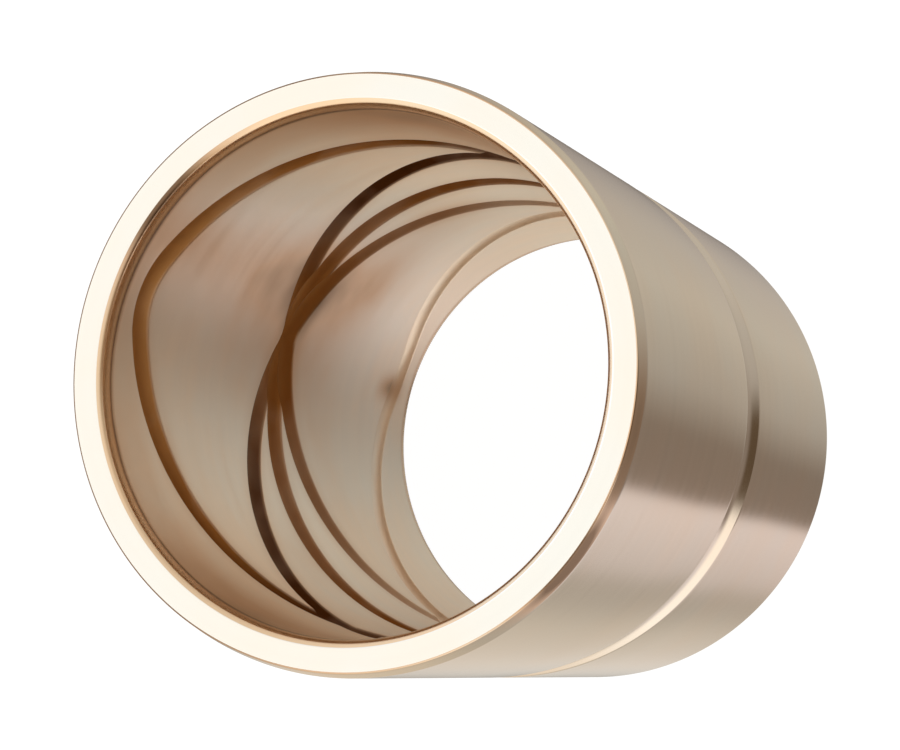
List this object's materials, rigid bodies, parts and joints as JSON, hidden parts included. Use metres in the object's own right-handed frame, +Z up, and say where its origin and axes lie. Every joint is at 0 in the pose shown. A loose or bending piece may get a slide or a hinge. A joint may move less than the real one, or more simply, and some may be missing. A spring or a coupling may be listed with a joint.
{
  "type": "grooved bronze bushing",
  "caption": "Turned bronze sleeve bushing with crossing figure-eight oil grooves and a ring groove in its bore, and a shallow oil groove round its outside.",
  "frame": {"origin": "middle of the lower end face, on the bore's axis", "axes": "+Z up the bore's axis; the figure-eight oil grooves turn back above the +X and the -X side"},
  "size_m": [0.08, 0.08, 0.12],
  "materials": {
    "bronze": "fine turned bronze, polished"
  },
  "bodies": {
    "root": {"bushing": "bronze"}
  },
  "joints": []
}
